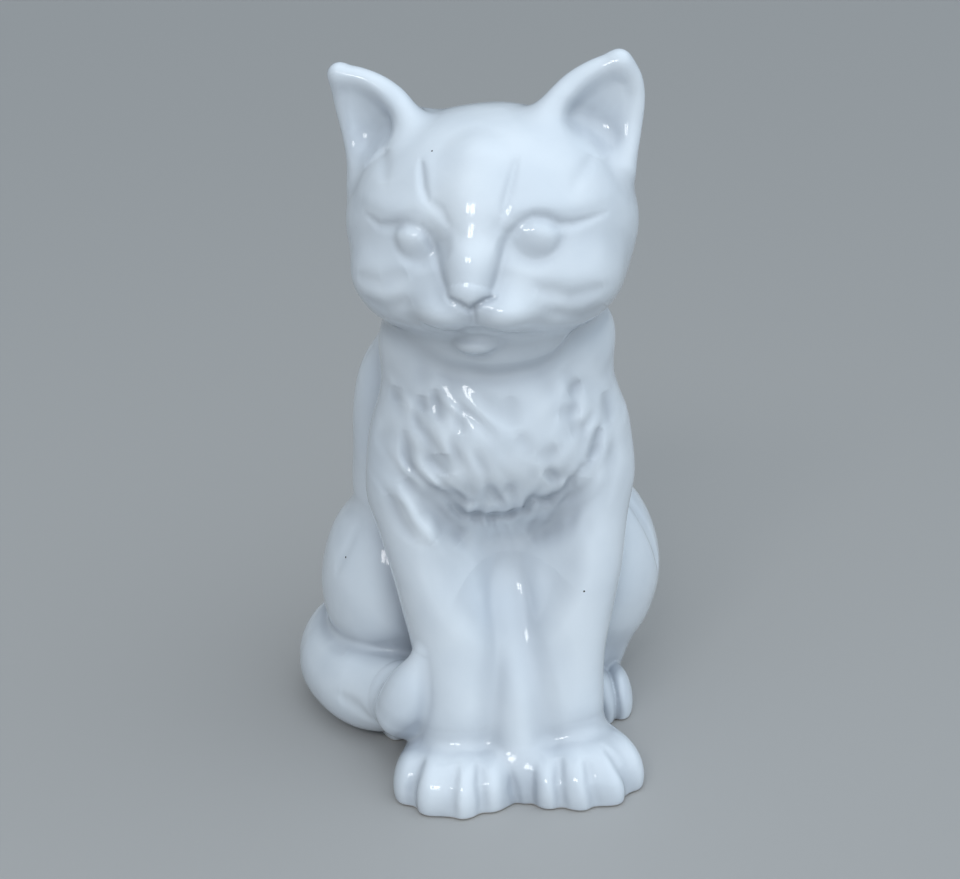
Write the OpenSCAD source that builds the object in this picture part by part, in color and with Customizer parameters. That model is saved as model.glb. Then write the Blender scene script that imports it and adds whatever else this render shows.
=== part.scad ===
// Glazed ceramic cat figurine: a sitting cat, head turned a little to its own right,
// tail laid round its right side with the tip turned up against the foreleg.
// Millimetres. The cat faces -Y, its left side is +X, and +Z is up.
// The origin is on the underside of the base slab, on the floor.
//
// The figure is a set of hollow clay castings and solid clay members, luted together
// with slip before the glaze firing. Each one meets its neighbours face to face.

/* [Whole figure] */
// Height from the floor to the ear tips
figure_h = 240; // [234:1:246]
// Thickness of the cast clay walls
wall = 5.5; // [4.5:0.5:6.5]

/* [Head] */
// Width of the head across the temples
head_w = 97; // [93:1:101]
// Depth of the head from the brow to the back of the skull
head_d = 84; // [81:1:88]
// Height of the skull
head_h = 76; // [73:1:80]
// Turn of the head towards the cat's right, in degrees
head_turn = 14.5; // [8:0.5:20]
// How far the muzzle stands in front of the skull
muzzle_reach = 6; // [4:1:9]

/* [Ears] */
// Distance between the two ear tips
ear_span = 95; // [90:1:100]
// Rise of the ear tips over the top of the skull
ear_rise = 13; // [10:1:15]
// Roundness of an ear's rim
ear_rim = 4; // [3:0.5:5]

/* [Torso] */
// Width of the chest
chest_w = 92; // [88:1:96]
// Width of the neck
neck_w = 76; // [70:1:80]
// Width of the rump without the haunches
rump_w = 100; // [95:1:104]
// How far the rump reaches behind the origin
rump_y = 67; // [63:1:70]

/* [Limbs] */
// Width across the two haunches
haunch_span = 128; // [124:1:132]
// Width of one foreleg at the wrist
foreleg_w = 31; // [28:1:33]
// Width of one forepaw
paw_w = 41; // [38:1:43]
// Reach of the right forepaw in front of the origin
paw_reach = 69; // [66:1:71]
// How much further forward the left forepaw stands
paw_lead = 4.5; // [2:0.5:6]
// Thickness of the tail
tail_d = 34; // [31:1:36]

/* [Base] */
// Thickness of the slab that closes the underside
slab_t = 5; // [4:0.5:6]
// Diameter of the vent hole that lets air out in the kiln
vent_d = 10; // [8:1:12]

/* [Hidden] */

glaze = "whitesmoke";
bisque = "wheat";
// The chest and the forelegs stand a little to the cat's left of the rump
chest_x = 1.5;
left = 1;
right = -1;
// Bore of the small holes pierced between hollow members
pierce_d = 6;
// Height at which the haunches, forelegs and tail are pierced
pierce_z = 30;

head_at = [1, -18, figure_h - ear_rise - head_h / 2];
slab_at = [0, 22, 0];
slab_rx = 38;
slab_ry = 30;

// Every rounded form is [centre, half sizes]. A chain joins each form to the next.

trunk = [
    [[1, -8, head_at.z - 37], [neck_w / 2, 33, 22]],
    [[chest_x, -8, 121], [chest_w / 2 - 2, 38, 24]],
    [[chest_x, -5, 104], [chest_w / 2, 41, 26]],
    [[1, rump_y - 54, 78], [chest_w / 2 + 1, 42, 34]],
    [[0, rump_y - 39, 46], [rump_w / 2, 39, 42]],
    [[0, rump_y - 42, 14], [rump_w / 2, 38, 30]]
];

// Solid clay behind the forelegs, from the chest to the floor
brisket = [
    [[chest_x, -14, 84], [34, 28, 24]],
    [[chest_x, -14, 22], [24, 24, 34]]
];

// The head's forms are in the head's own frame, with the muzzle towards -Y
skull = [
    [[0, 2, 0], [head_w / 2, head_d / 2, head_h / 2]],
    [[0, -3, -13], [head_w / 2 - 4, head_d / 2 - 4, head_h / 2 - 12]]
];
muzzle = [
    [[0, -12, 4], [30, 26, 26]],
    [[0, -28 - muzzle_reach, -16], [16, 16, 15]],
    [[0, -22 - muzzle_reach, -22], [24, 18, 19]]
];

function tail_forms() = let (r = tail_d / 2) [
    [[-10, rump_y - 11, 18], [16, 14, 17]],
    [[-40, rump_y - 18, 18], [r, r, 17]],
    [[-55.5, 28, 17], [r, r, 17]],
    [[-55, 8, 16], [r, r, 16]],
    [[-47, -8, 13], [r - 3, r - 3, 15]],
    [[-39, -20, 13], [12, 12, 14]]
];
tail_tip = [
    [[-39, -20, 13], [12, 12, 14]],
    [[-35, -29, 22], [10.5, 8, 11]],
    [[-31, -35, 35], [6, 5, 6]],
    [[-29, -37, 42], [3, 3, 3]]
];

function foreleg_forms(side) = let (
    lead = side == left ? paw_lead : 0,
    wide = side == left ? 1 : 0,
    x0 = chest_x,
    half = foreleg_w / 2
) [
    [[x0 + side * (24 + wide), -25, 90], [20, 19, 20]],
    [[x0 + side * (20 + wide), -30, 62], [17, 17, 18]],
    [[x0 + side * half * 1.13, -37, 36], [half, 16, 18]],
    [[x0 + side * half * 1.16, -42 - lead / 2, 18], [half + 0.5, 17, 17]],
    [[x0 + side * (paw_w / 2 + 0.2), 21 - paw_reach - lead, 7], [paw_w / 2, 21, 13]]
];

function haunch_forms(side) = let (x = side * (haunch_span / 2 - 27) + (side == left ? 2 : 0)) [
    [[x, 22, 46], [27, 33, 36]],
    [[x, 12, 34], [27, 30, 30]],
    [[x - side * 4, 16, 14], [24, 30, 24]]
];

function hind_paw_forms(side) = let (x = side * (side == left ? 40 : 30)) [
    [[x, 6, 8], [10, 14, 10]],
    [[x, -7, 6], [11, 12, 10]]
];

// An ear's forms: outer foot, inner foot, tip, outer edge, and the bulge of its back
function ear_forms(side) = let (top = figure_h - ear_rim) [
    [[1 + side * 44, -7, head_at.z + 16], [6, 8, 9]],
    [[1 + side * 21, -8, head_at.z + 32], [7, 8, 7]],
    [[1 + side * (ear_span / 2 - ear_rim), -3, top], [ear_rim, ear_rim, ear_rim]],
    [[1 + side * 47, -5, head_at.z + 34], [5, 5, 8]],
    [[1 + side * 36, 6, head_at.z + 25], [10, 9, 10]]
];

module ball(form, inset) {
    translate(form[0]) scale(form[1] - [inset, inset, inset]) sphere(r = 1, $fn = 26);
}

module chain(forms, inset = 0) {
    for (i = [0 : len(forms) - 2])
        hull() {
            ball(forms[i], inset);
            ball(forms[i + 1], inset);
        }
}

module above(z) {
    intersection() {
        children();
        translate([-200, -200, z]) cube([400, 400, 400]);
    }
}

// A hole pierced from one hollow member into another, along X or Y
module pierce(from, turn, length) {
    translate(from) rotate(turn) cylinder(d = pierce_d, h = length, $fn = 14);
}

module in_head() {
    translate(head_at) rotate([0, 0, -head_turn]) children();
}

module torso_solid() {
    chain(trunk);
    chain(brisket);
}

module head_solid() {
    in_head() {
        chain(skull);
        chain(muzzle);
    }
}

module ear_solid(side) {
    hull() for (form = ear_forms(side)) ball(form, 0);
}

module foreleg_solid(side) {
    chain(foreleg_forms(side));
}

module haunch_solid(side) {
    chain(haunch_forms(side));
}

module tail_solid() {
    chain(tail_forms());
    chain(tail_tip);
}

module slab_solid() {
    outline = [for (a = [0 : 6 : 354]) [slab_rx * cos(a), slab_ry * sin(a)]];
    translate(slab_at) linear_extrude(slab_t) polygon(outline);
}

module member_pierces() {
    for (side = [left, right]) {
        pierce([0, 22, pierce_z + 14], [0, side * 90, 0], haunch_span / 2 - 14);
        pierce([chest_x + side * 20, 4, pierce_z + 36], [90, 0, 0], 34);
    }
    pierce([-12, 30, pierce_z - 8], [-90, 0, 0], 22);
}

module torso_casting() {
    color(glaze) difference() {
        above(0) torso_solid();
        chain(trunk, wall);
        head_solid();
        slab_solid();
        member_pierces();
    }
}

module head_casting() {
    color(glaze) difference() {
        head_solid();
        in_head() chain(skull, wall);
        translate([0, -12, head_at.z - 60]) cylinder(r = 15, h = 40, $fn = 28);
    }
}

// The bowl of the ear opens forwards and a little outwards
module ear(side) {
    color(glaze) difference() {
        ear_solid(side);
        hull() {
            translate([1 + side * 38, -15, head_at.z + 22]) sphere(r = 8, $fn = 24);
            translate([1 + side * 43, -11, head_at.z + 38]) sphere(r = 5, $fn = 24);
            translate([1 + side * 32, -13, head_at.z + 31]) sphere(r = 5, $fn = 24);
        }
        head_solid();
    }
}

module left_ear() {
    ear(left);
}

module right_ear() {
    ear(right);
}

module foreleg(side) {
    forms = foreleg_forms(side);
    shank = [for (i = [0 : 3]) forms[i]];
    color(glaze) difference() {
        above(0) foreleg_solid(side);
        chain(shank, wall + 1);
        torso_solid();
        if (side == right) foreleg_solid(left);
    }
}

module left_foreleg() {
    foreleg(left);
}

module right_foreleg() {
    foreleg(right);
}

// The thin upright ridge of clay that fills the gap between the forelegs
module foreleg_web() {
    color(glaze) difference() {
        above(0) chain([
            [[chest_x, -34, 72], [7, 10, 12]],
            [[chest_x, -42, 44], [7, 10, 12]],
            [[chest_x, -50, 20], [8, 12, 14]],
            [[chest_x, -54, 4], [9, 12, 10]]
        ]);
        torso_solid();
        foreleg_solid(left);
        foreleg_solid(right);
    }
}

module haunch(side) {
    color(glaze) difference() {
        above(0) haunch_solid(side);
        above(wall) chain(haunch_forms(side), wall);
        torso_solid();
        foreleg_solid(side);
    }
}

module left_haunch() {
    haunch(left);
}

module right_haunch() {
    haunch(right);
}

module hind_paw(side) {
    color(glaze) difference() {
        above(0) chain(hind_paw_forms(side));
        haunch_solid(side);
        torso_solid();
        foreleg_solid(side);
        if (side == right) tail_solid();
    }
}

module left_hind_paw() {
    hind_paw(left);
}

module right_hind_paw() {
    hind_paw(right);
}

module tail() {
    color(glaze) difference() {
        above(0) tail_solid();
        chain(tail_forms(), wall);
        torso_solid();
        haunch_solid(right);
        foreleg_solid(right);
    }
}

module base_slab() {
    color(bisque) difference() {
        slab_solid();
        translate([0, 30, -1]) cylinder(d = vent_d, h = slab_t + 2, $fn = 48);
    }
}

torso_casting();
head_casting();
left_ear();
right_ear();
left_foreleg();
right_foreleg();
foreleg_web();
left_haunch();
right_haunch();
left_hind_paw();
right_hind_paw();
tail();
base_slab();
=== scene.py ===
import math

import bpy
import numpy as np
from mathutils import Matrix, Vector

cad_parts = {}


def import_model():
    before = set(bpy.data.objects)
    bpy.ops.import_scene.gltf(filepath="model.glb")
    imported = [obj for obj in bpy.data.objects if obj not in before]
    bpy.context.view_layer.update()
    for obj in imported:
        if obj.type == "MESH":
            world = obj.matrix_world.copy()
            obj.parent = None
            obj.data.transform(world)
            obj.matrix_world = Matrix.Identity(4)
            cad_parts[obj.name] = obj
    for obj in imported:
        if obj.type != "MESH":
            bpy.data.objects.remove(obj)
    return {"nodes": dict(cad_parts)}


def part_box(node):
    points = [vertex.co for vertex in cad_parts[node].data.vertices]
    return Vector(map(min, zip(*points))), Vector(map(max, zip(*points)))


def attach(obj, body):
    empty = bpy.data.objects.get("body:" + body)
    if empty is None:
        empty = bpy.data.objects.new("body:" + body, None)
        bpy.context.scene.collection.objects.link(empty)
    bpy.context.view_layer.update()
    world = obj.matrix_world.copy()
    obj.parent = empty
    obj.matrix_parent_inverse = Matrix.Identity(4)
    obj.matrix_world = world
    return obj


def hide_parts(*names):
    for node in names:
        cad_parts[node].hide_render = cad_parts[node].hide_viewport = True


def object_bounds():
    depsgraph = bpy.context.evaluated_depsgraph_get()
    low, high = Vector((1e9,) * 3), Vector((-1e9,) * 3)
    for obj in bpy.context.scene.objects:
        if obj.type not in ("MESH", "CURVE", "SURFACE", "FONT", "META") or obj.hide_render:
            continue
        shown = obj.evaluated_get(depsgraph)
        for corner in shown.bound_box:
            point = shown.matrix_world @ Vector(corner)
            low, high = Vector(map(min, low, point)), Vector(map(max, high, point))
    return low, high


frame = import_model()
CAD_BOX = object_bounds()

# ------------------------------------------------------------------ sizes and places
# The sculpture is worked out in figure units: 240 of them are the figure's height, and at
# full size one is a millimetre. The cat faces -Y, its left side is +X, the floor is z = 0.
UNITS_HIGH = 240
UNIT = (CAD_BOX[1][2] - CAD_BOX[0][2]) / UNITS_HIGH
# The step of the grid that the surface is found on
VOXEL = 0.9


def box_units(node):
    """A CAD node's lowest and highest corners, in figure units."""
    low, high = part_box(node)
    return np.array(low) / UNIT, np.array(high) / UNIT


HEAD_TOP = box_units("head_casting")[1][2]
HEAD_AT = np.array([1.0, -18.0, HEAD_TOP - 38.0])
HEAD_TURN = -14.5
SLAB_LOW, SLAB_HIGH = box_units("base_slab")
SLAB_GAP = 0.4
VENT_AT = (0, 30)
VENT_RADIUS = 5
VENT_TOP = 16
# The space that is sampled, a little more than the figure fills
BOUNDS_LOW = np.array([-82.0, -82.0, -4.0])
BOUNDS_HIGH = np.array([76.0, 78.0, 246.0])


def turned(yaw=0.0, pitch=0.0, roll=0.0):
    """Rotation matrix: yaw about Z, then pitch about X, then roll about Y, in degrees."""
    a, b, c = (math.radians(v) for v in (yaw, pitch, roll))
    about_z = np.array([[math.cos(a), -math.sin(a), 0], [math.sin(a), math.cos(a), 0], [0, 0, 1]])
    about_x = np.array([[1, 0, 0], [0, math.cos(b), -math.sin(b)], [0, math.sin(b), math.cos(b)]])
    about_y = np.array([[math.cos(c), 0, math.sin(c)], [0, 1, 0], [-math.sin(c), 0, math.cos(c)]])
    return about_z @ about_x @ about_y


HEAD_AXES = turned(HEAD_TURN)


# ------------------------------------------------------------------ clay: distance fields
# A field gives each point's distance to a form, negative inside. Forms are joined and cut
# smoothly, as wet clay is.
FAR = 1e6
# Further than this from its node's box, a form's distance is only estimated
NEAR = 25


def join(a, b, soft):
    """Both forms together, filleted where they meet over about the softness."""
    near = np.maximum(soft - np.abs(a - b), 0) / soft
    return np.minimum(a, b) - near * near * soft * 0.25


def cut(a, b, soft):
    """The first form with the second taken out of it."""
    return -join(-a, b, soft)


def oval(p, centre, half, axes=None):
    """An egg shape with the given half sizes, turned to the axes if they are given."""
    q = p - np.asarray(centre, np.float32)
    if axes is not None:
        q = q @ axes
    half = np.asarray(half, np.float32)
    k0 = np.sqrt(np.sum((q / half) ** 2, axis=1))
    k1 = np.sqrt(np.sum((q / (half * half)) ** 2, axis=1)) + 1e-6
    return k0 * (k0 - 1) / k1


def built_up(p, masses):
    """Ovals joined in turn, each given as its centre, its half sizes and its softness."""
    (centre, half, _), *others = masses
    d = oval(p, centre, half)
    for centre, half, soft in others:
        d = join(d, oval(p, centre, half), soft)
    return d


def limb(p, points, radii):
    """A tapering rod along the points, each with its own radius."""
    nearest = np.full(len(p), FAR, np.float32)
    for a, b, ra, rb in zip(points[:-1], points[1:], radii[:-1], radii[1:]):
        a = np.asarray(a, np.float32)
        axis = np.asarray(b, np.float32) - a
        t = np.clip((p - a) @ axis / (axis @ axis), 0, 1)
        gap = p - a - t[:, None] * axis
        distance = np.sqrt(np.sum(gap * gap, axis=1)) - (ra + (rb - ra) * t)
        nearest = np.minimum(nearest, distance)
    return nearest


def flowing(points, radii, steps):
    """More points and radii along a smooth curve through the ones given."""
    line = np.column_stack([np.array(points, float), radii])
    line = np.vstack([2 * line[0] - line[1], line, 2 * line[-1] - line[-2]])
    out = []
    for a, b, c, d in zip(line[:-3], line[1:-2], line[2:-1], line[3:]):
        for t in np.arange(steps) / steps:
            bend = 2 * a - 5 * b + 4 * c - d
            out.append(0.5 * (2 * b + (c - a) * t + bend * t * t + (3 * b - a - 3 * c + d) * t ** 3))
    out.append(line[-2])
    out = np.array(out)
    return out[:, :3], out[:, 3]


def tube(p, points, radii, steps=10):
    """A smooth rod along the flowing curve through the points, with a radius at each."""
    centres, r = flowing(points, radii, steps)
    middle = centres.mean(axis=0)
    a = (p - middle).astype(np.float32)
    c = (centres - middle).astype(np.float32)
    square = np.sum(a * a, axis=1)[:, None] - 2 * (a @ c.T) + np.sum(c * c, axis=1)
    best = np.clip(np.argmin(square, axis=1), 1, len(c) - 2)
    row = np.arange(len(p))
    before, here, after = (square[row, best + step] for step in (-1, 0, 1))
    bend = np.maximum(before + after - 2 * here, 1e-6)
    shift = np.clip(0.5 * (before - after) / bend, -1, 1)
    nearest = here + 0.5 * shift * (after - before) + 0.5 * bend * shift * shift
    change = 0.5 * (r[best + 1] - r[best - 1]) * shift
    change += 0.5 * (r[best + 1] + r[best - 1] - 2 * r[best]) * shift * shift
    return (np.sqrt(np.maximum(nearest, 0)) - r[best] - change).astype(np.float32)


def nearby(form, *nodes):
    """The form's field, worked out only near the nodes' boxes and only estimated further off."""
    low = np.min([box_units(node)[0] for node in nodes], axis=0)
    high = np.max([box_units(node)[1] for node in nodes], axis=0)

    def field(p):
        outside = np.maximum(np.maximum(low - p, p - high), 0)
        away = np.sqrt(np.sum(outside ** 2, axis=1)).astype(np.float32)
        near = away < NEAR
        away[near] = form(p[near])
        return away

    return field


def plate(p, a, b, c, thickness):
    """A three-cornered plate with rounded edges."""
    a, b, c = (np.asarray(v, np.float32) for v in (a, b, c))
    normal = np.cross(b - a, a - c)
    sides = [(a, b - a), (b, c - b), (c, a - c)]
    over = np.ones(len(p), bool)
    to_edge = np.full(len(p), FAR ** 2, np.float32)
    for corner, side in sides:
        q = p - corner
        over &= (q @ np.cross(side, normal)) >= 0
        t = np.clip(q @ side / (side @ side), 0, 1)
        to_edge = np.minimum(to_edge, np.sum((q - t[:, None] * side) ** 2, axis=1))
    to_face = ((p - a) @ normal) ** 2 / (normal @ normal)
    return np.sqrt(np.where(over, to_face, to_edge)) - thickness


def stroke(flat, points, width):
    """How strongly a tool stroke marks each point, from 0 to 1, fading at its two ends."""
    mark = np.zeros(len(flat), np.float32)
    low = np.min(points, axis=0) - 3 * width
    high = np.max(points, axis=0) + 3 * width
    near = np.all((flat > low) & (flat < high), axis=1)
    if not near.any():
        return mark
    q = flat[near]
    lengths = [math.dist(a, b) for a, b in zip(points[:-1], points[1:])]
    total = sum(lengths)
    best = np.full(len(q), FAR, np.float32)
    along = np.zeros(len(q), np.float32)
    done = 0.0
    for a, b, length in zip(points[:-1], points[1:], lengths):
        a = np.asarray(a, np.float32)
        axis = np.asarray(b, np.float32) - a
        t = np.clip((q - a) @ axis / (axis @ axis), 0, 1)
        gap = q - a - t[:, None] * axis
        distance = np.sqrt(np.sum(gap * gap, axis=1))
        closer = distance < best
        best = np.where(closer, distance, best)
        along = np.where(closer, (done + t * length) / total, along)
        done += length
    taper = np.sqrt(np.clip(4 * along * (1 - along), 0.05, 1))
    mark[near] = np.exp(-((best / (width * (0.5 + 0.5 * taper))) ** 2)) * taper
    return mark


# ------------------------------------------------------------------ the head
def skull(q):
    """The round of the head, with its cheeks and chin."""
    d = oval(q, (0, 2, 0), (47.5, 41, 37.5))
    d = join(d, oval(q, (0, -8, -16), (41, 35.5, 22)), 9)
    for side in (-1, 1):
        d = join(d, oval(q, (side * 24, -18, -12), (17, 17, 12)), 8)
    return join(d, oval(q, (1.5, -18, -30.6), (23, 14.5, 13.4)), 7)


def face(q, d):
    """Adds the muzzle, nose and eyes to the skull, and cuts the mouth."""
    for side in (-1, 1):
        d = join(d, oval(q, (side * 8.5, -36, -18.5), (10.5, 12.5, 7)), 5)
    bridge = [(-0.5, -22, 19), (-0.7, -28.6, 10), (-0.9, -33.2, 2.5), (-1.3, -39.5, -5.6),
              (-1.6, -43.5, -11.6)]
    d = join(d, tube(q, bridge, (10, 10.2, 9.3, 8, 6)), 5)
    for side in (-1, 1):
        slant = turned(roll=side * 18)
        d = cut(d, oval(q, (side * 17.8, -42.8, 0.8), (9, 6.2, 6.6), slant), 3.5)
        d = join(d, oval(q, (side * 18, -32.2, 2.2), (6.8, 5.0, 5.8)), 2.6)
    mouth = [(-9, -47, -28), (0, -48, -27.8), (10, -47, -28.8)]
    return cut(d, limb(q, mouth, (2.0, 3.0, 2.0)), 4)


def arc(centre, radius, start, stop):
    """Points along part of a circle, from one angle to another, in degrees."""
    angles = np.radians(np.linspace(start, stop, 9))
    return [(centre[0] + radius * math.cos(a), centre[1] + radius * math.sin(a)) for a in angles]


FACE_STROKES = [
    # (points across and up the front of the head, width, depth); a minus depth is a ridge
    ([(-36, 7.2), (-30.7, 4.9), (-25.4, 5.5), (-21.1, 6.3), (-16.8, 5.5), (-14.6, 3.3), (-12.8, -0.2),
      (-11.5, -3.6), (-9.7, -8.3), (-8.0, -11.6), (-7.2, -13.6)], 1.8, 0.85),
    ([(38, 7), (32.2, 5.9), (28.6, 5.4), (24.2, 5.9), (20.6, 7.7), (17.1, 8.3), (13.4, 6.8), (10.4, 4),
      (9.2, 1.4), (8.6, -1.3), (7.2, -6.9), (6.2, -10.7), (5.9, -13.6)], 1.8, 0.85),
    ([(-38, 12), (-28, 10.5), (-19, 11.5), (-13, 8.5), (-9, 2)], 3.4, -0.6),
    ([(38, 11.5), (28, 11), (19, 12.5), (13, 11), (9.5, 4)], 3.4, -0.6),
    ([(-7.6, -13.2), (-4, -14.6), (-1, -16.6), (2.6, -14.4), (6.4, -13.4)], 1.3, 1.0),
    ([(-17.5, 24), (-16.1, 16.8), (-14.4, 13)], 1.5, 0.8),
    ([(-14, 13.4), (-9.9, 10.9), (-7.4, 6.9)], 1.7, 0.4),
    ([(12, 25), (10.2, 17.6), (9, 13), (8.7, 9)], 1.5, 0.65),
    ([(33.5, 23), (28.6, 15)], 2.6, 0.5),
    ([(-31, 26), (-29.5, 17)], 2.6, 0.5),
    ([(-17.6, -23), (-10.9, -25.8), (-6.1, -26.2), (-3, -24.5), (1.5, -24.1), (6, -25.7), (11, -27.6),
      (20, -28.5)], 1.7, 0.8),
    ([(-30, -27), (-16, -30.5), (0, -32), (16, -32.5), (32, -30)], 5.0, 1.8),
    ([(0, -15.5), (0, -23)], 1.3, 0.5),
    ([(19, -12), (28, -15.5), (38, -14)], 3.0, 1.1),
    ([(-21, -8), (-30, -12), (-39, -11)], 3.0, 1.0),
    ([(22, -20), (31, -23.5), (38, -21)], 2.6, 0.8),
    ([(-20, -16), (-29, -20), (-37, -18)], 2.6, 0.8),
    ([(-8.5, 7), (-4, 4.2), (0, 3.3), (5, 4.6), (9, 9)], 3.2, 0.4),
    (arc((-18.3, 2.2), 7.0, 165, 355), 1.6, 0.35),
    (arc((18.2, 2.4), 7.0, 185, 375), 1.6, 0.3),
]


def carve(d, flat, mask, strokes):
    """Draws the strokes into the form where the mask lets them."""
    for points, width, depth in strokes:
        d = d + depth * mask * stroke(flat, points, width)
    return d


EARS = {
    # by side: -1 is the cat's right and 1 its left
    -1: {
        "rim": [(-48, 3.5, 46.7), (-38, 3.5, 43.3), (-29.5, 1, 37.8), (-24.5, -5, 31), (-25, -11, 24)],
        "rim_r": (3.4, 4.4, 4.6, 4.4, 3.4),
        "edge": [(-48, 4.8, 46.7), (-47.2, 6.4, 36), (-43.8, 4.6, 24), (-41, -1, 14)],
        "edge_r": (3.0, 2.6, 2.8, 3.4),
        "back": [(-44, 6, 43), (-24, 5, 30), (-41, 3, 16)],
        "bowl": (-39.2, -8.4, 30), "bowl_half": (9.4, 11.6, 18), "lean": -24,
    },
    1: {
        "rim": [(41, 4.5, 48.4), (34, 4, 46), (26, 2, 40.8), (19.6, -3, 33.6), (19.5, -9, 26)],
        "rim_r": (4.0, 4.6, 4.8, 4.6, 3.4),
        "edge": [(40.6, 5, 48.6), (44.6, 6.4, 43.6), (45.8, 6.8, 37), (44.6, 4.8, 28), (42, -1, 17)],
        "edge_r": (3.6, 3.2, 2.8, 2.8, 3.6),
        "back": [(40, 7, 44), (22, 5, 32), (41, 4, 18)],
        "bowl": (35.6, -8.6, 32.4), "bowl_half": (10.4, 12.2, 18), "lean": 30,
    },
}


EAR_THICKNESS = 5.2


def ear(q, side):
    """A plate with a rim and an outer edge, and a bowl pressed into its front."""
    e = EARS[side]
    d = plate(q, *e["back"], EAR_THICKNESS)
    d = join(d, tube(q, e["rim"], e["rim_r"]), 3)
    edge = tube(q, e["edge"], e["edge_r"])
    d = join(d, edge, 3)
    d = cut(d, oval(q, e["bowl"], e["bowl_half"], turned(pitch=-8, roll=e["lean"])), 3.5)
    return join(d, edge, 2)


def in_head(p):
    """The points in the head's own frame, with the muzzle towards -Y."""
    return ((p - HEAD_AT.astype(np.float32)) @ HEAD_AXES).astype(np.float32)


def head(p):
    """The head with its ears, carved, and then the lower lip."""
    q = in_head(p)
    d = face(q, skull(q))
    for side in (-1, 1):
        d = join(d, ear(q, side), 7)
    front = np.clip((-4 - q[:, 1]) / 8, 0, 1)
    d = carve(d, q[:, [0, 2]], front, FACE_STROKES)
    return join(d, oval(q, (-1.4, -32, -31.2), (6.2, 4.4, 3.4)), 3)


# ------------------------------------------------------------------ the body
FUR_DEPTH = 0.85
FUR_STROKES = [
    # on the chest, across and up; the same form as FACE_STROKES
    ([(-20.7, 140), (-20.8, 134.6), (-20.1, 130)], 2.0, 0.88),
    ([(-25, 137.5), (-24.9, 132)], 2.0, 0.78),
    ([(-27.7, 133), (-27.1, 126.8), (-24.7, 121.8), (-23.2, 117.5), (-19.9, 113.5)], 2.2, 1.07),
    ([(-31.3, 125.5), (-30.8, 117.2), (-29.7, 111.8)], 2.1, 0.88),
    ([(-32.5, 138), (-32.4, 133)], 2.0, 0.58),
    ([(-20.6, 120), (-18.6, 112.5)], 3.1, 1.17),
    ([(-13.3, 134.5), (-13.8, 126.5)], 2.0, 0.49),
    ([(-23.5, 108), (-18.8, 105.4), (-13, 101.9), (-9.5, 101.8)], 2.4, 0.97),
    ([(-20.5, 107.5), (-16.1, 98), (-13.2, 95.2), (-5.8, 93.6), (1.7, 93.3), (7.6, 96.2),
      (9.7, 100.4), (15, 99.2), (18.7, 101.9), (25.5, 111)], 2.4, 1.50),
    ([(-7, 109), (-2.4, 104.3), (2.3, 108.6)], 2.8, 0.78),
    ([(9.8, 117.6), (17.2, 119.8)], 3.1, 0.88),
    ([(33.2, 122.5), (30, 118.1), (29.2, 112.5)], 2.5, 1.07),
    ([(22, 136), (27.1, 138)], 2.5, 0.78),
    ([(22, 123.8), (27.4, 125.4)], 3.1, 0.68),
    ([(12, 112.5), (20, 107.5)], 2.6, 1.08),
    ([(18, 131), (26, 130)], 3.0, 0.81),
    ([(4, 126), (9, 119)], 3.0, 0.68),
    ([(2, 138), (3, 128)], 3.0, 0.54),
    ([(35.5, 133), (37, 122)], 2.4, 0.81),
    ([(-33, 109), (-24.6, 101.6), (-21.2, 96.8), (-14, 85)], 4.6, 1.40),
    ([(-34.5, 108), (-30, 96.5), (-23.5, 88)], 3.0, -1.35),
    ([(-38, 103), (-34.2, 95.3), (-30, 88)], 2.7, 0.88),
    ([(26, 108), (20.7, 93), (14.5, 86.5), (9, 82)], 4.6, 1.30),
]
PAW_STROKES = [
    # down between the toes, from the cat's right to its left, as points in space
    ([(-32, -56.5, 16), (-34.7, -60.8, 12), (-36.3, -63.4, 5), (-36.6, -64, -4)], 2.2, 1.1),
    ([(-20.9, -62.6, 16.3), (-23.2, -69.3, 11), (-24, -71.8, 3), (-24, -72, -4)], 2.2, 1.0),
    ([(-13.3, -62, 15.5), (-14.1, -68.6, 10.8), (-13.9, -71, 3), (-13.9, -71.5, -4)], 2.1, 0.9),
    ([(-3.6, -61.5, 12.5), (-2.8, -65.4, 7), (-1.6, -66.3, 2), (-1.6, -67, -4)], 2.0, 0.7),
    ([(4.9, -64.5, 12), (4.0, -67, 8), (3.4, -68, 3), (3.4, -68.5, -4)], 2.0, 0.6),
    ([(13.7, -63.4, 15.6), (12.1, -70.6, 9.2), (12.8, -72.4, 2), (12.8, -73, -4)], 2.1, 0.9),
    ([(22.3, -66.4, 15.3), (22.2, -72.7, 9.5), (23.7, -73.8, 2), (23.7, -74, -4)], 2.2, 1.0),
    ([(29.6, -61.8, 16.8), (33.3, -68.2, 12), (35.8, -69.6, 3), (36, -70, -4)], 2.2, 1.1),
]
LIMB_STROKES = [
    # on the haunches and the tail, as points in space
    ([(50, 4.5, 80), (56.5, 1.3, 71), (60.5, 1, 62), (62.3, 1.5, 52)], 2.2, 1.0),
    ([(-47, 3, 79), (-53, 0, 69), (-57, 0, 60)], 2.6, 0.6),
    ([(-59, -17, 20), (-53, -25, 18.5), (-48, -29.5, 15)], 3.0, 0.9),
    ([(-62, 2, 33), (-56, -9, 34)], 2.6, 0.7),
]


def undulation(p):
    """The slight unevenness that fingers leave in clay."""
    x, y, z = p[:, 0], p[:, 1], p[:, 2]
    broad = np.sin(x / 5.3 + z / 9.1) * np.sin(z / 6.7 - y / 8.3 + 1.0)
    fine = np.sin(y / 3.1 + x / 4.7 + 2.0) * np.sin(z / 3.7 - x / 5.9)
    return 0.16 * broad + 0.04 * fine


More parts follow.
